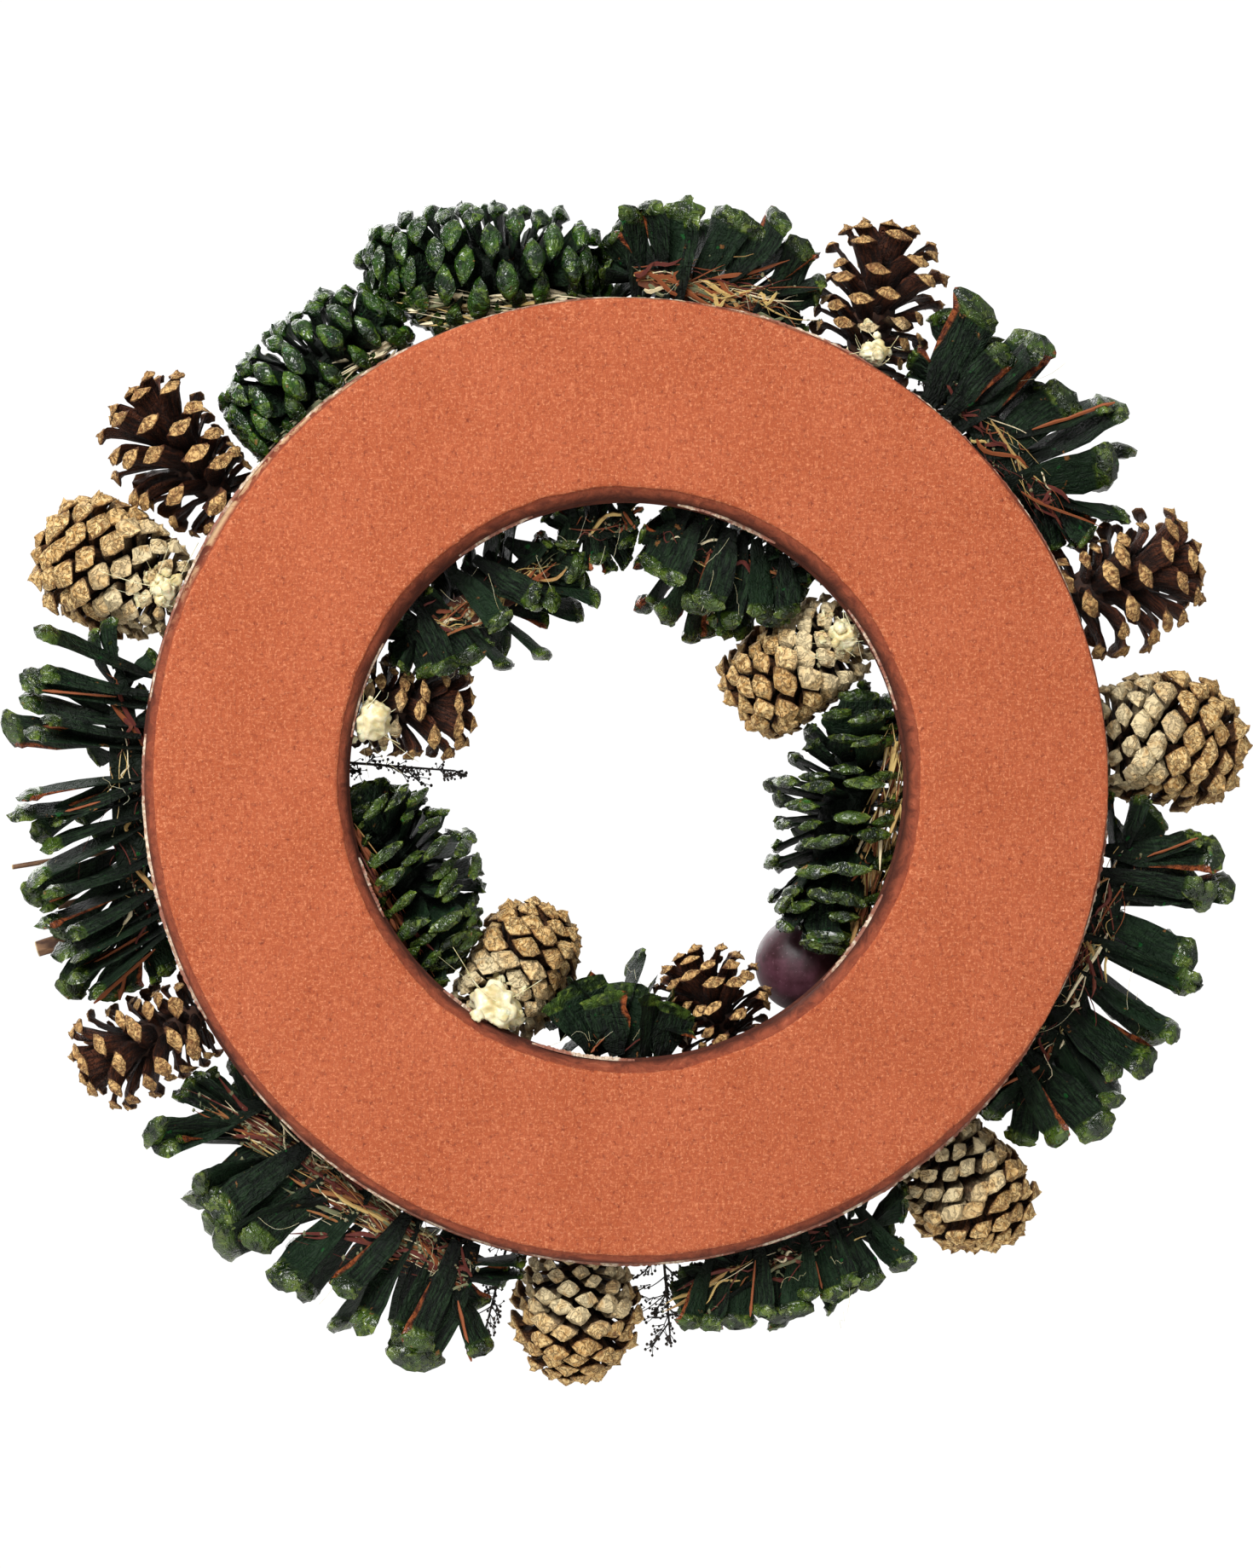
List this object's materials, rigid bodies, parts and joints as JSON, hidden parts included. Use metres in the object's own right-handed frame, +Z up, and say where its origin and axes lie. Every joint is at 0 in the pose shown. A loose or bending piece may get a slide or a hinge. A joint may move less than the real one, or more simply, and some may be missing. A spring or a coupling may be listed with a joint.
{
  "type": "pine cone wreath",
  "caption": "Hanging pine cone wreath: paper-covered ring with brown and green cones, dark red balls, dried sprigs and an open centre.",
  "frame": {"origin": "on the flat back face of the ring, at its top and halfway across its width, where it hangs on the door", "axes": "+Z up as it hangs, +Y out of the flat back towards the door, -Y the decorated front, +X to the right seen from the front"},
  "size_m": [0.3267, 0.077, 0.3144],
  "materials": {
    "paper": "matte terracotta craft paper with fine fibres",
    "brown_cone": "dry dark brown scales with tan tips",
    "tan_cone": "dry tan scale tips",
    "green_cone": "dyed dark green, waxy gloss on the tips",
    "ball": "dark red with a soft bloom",
    "glue": "set hot glue, cream",
    "sprig": "dried, nearly black",
    "twig": "brown bark with pale cut ends"
  },
  "bodies": {
    "root": {"ball_1": "ball", "ball_2": "ball", "ball_3": "ball", "ball_4": "ball", "cone_front_01_brown": "brown_cone", "cone_front_02_green": "green_cone", "cone_front_03_tan": "tan_cone", "cone_front_04_green": "green_cone", "cone_front_05_brown": "brown_cone", "cone_front_06_green": "green_cone", "cone_front_07_tan": "tan_cone", "cone_front_08_green": "green_cone", "cone_front_09_brown": "brown_cone", "cone_front_10_green": "green_cone", "cone_front_11_tan": "tan_cone", "cone_in_01_green": "green_cone", "cone_in_02_green": "green_cone", "cone_in_03_tan": "tan_cone", "cone_in_04_green": "green_cone", "cone_in_05_brown": "brown_cone", "cone_in_06_green": "green_cone", "cone_in_07_tan": "tan_cone", "cone_in_08_green": "green_cone", "cone_in_09_brown": "brown_cone", "cone_in_10_green": "green_cone", "cone_out_01_green": "green_cone", "cone_out_02_brown": "brown_cone", "cone_out_03_green": "green_cone", "cone_out_04_brown": "brown_cone", "cone_out_05_tan": "tan_cone", "cone_out_06_green": "green_cone", "cone_out_07_tan": "tan_cone", "cone_out_08_green": "green_cone", "cone_out_09_tan": "tan_cone", "cone_out_10_green": "green_cone", "cone_out_11_brown": "brown_cone", "cone_out_12_green": "green_cone", "cone_out_13_tan": "tan_cone", "cone_out_14_brown": "brown_cone", "cone_out_15_green": "green_cone", "cone_out_16_green": "green_cone", "glue_1": "glue", "glue_2": "glue", "glue_3": "glue", "glue_4": "glue", "glue_5": "glue", "glue_6": "glue", "ring": "paper", "sprig_1": "sprig", "sprig_2": "sprig", "sprig_3": "sprig", "sprig_4": "sprig", "twig_1": "twig", "twig_2": "twig", "twig_3": "twig"}
  },
  "joints": []
}
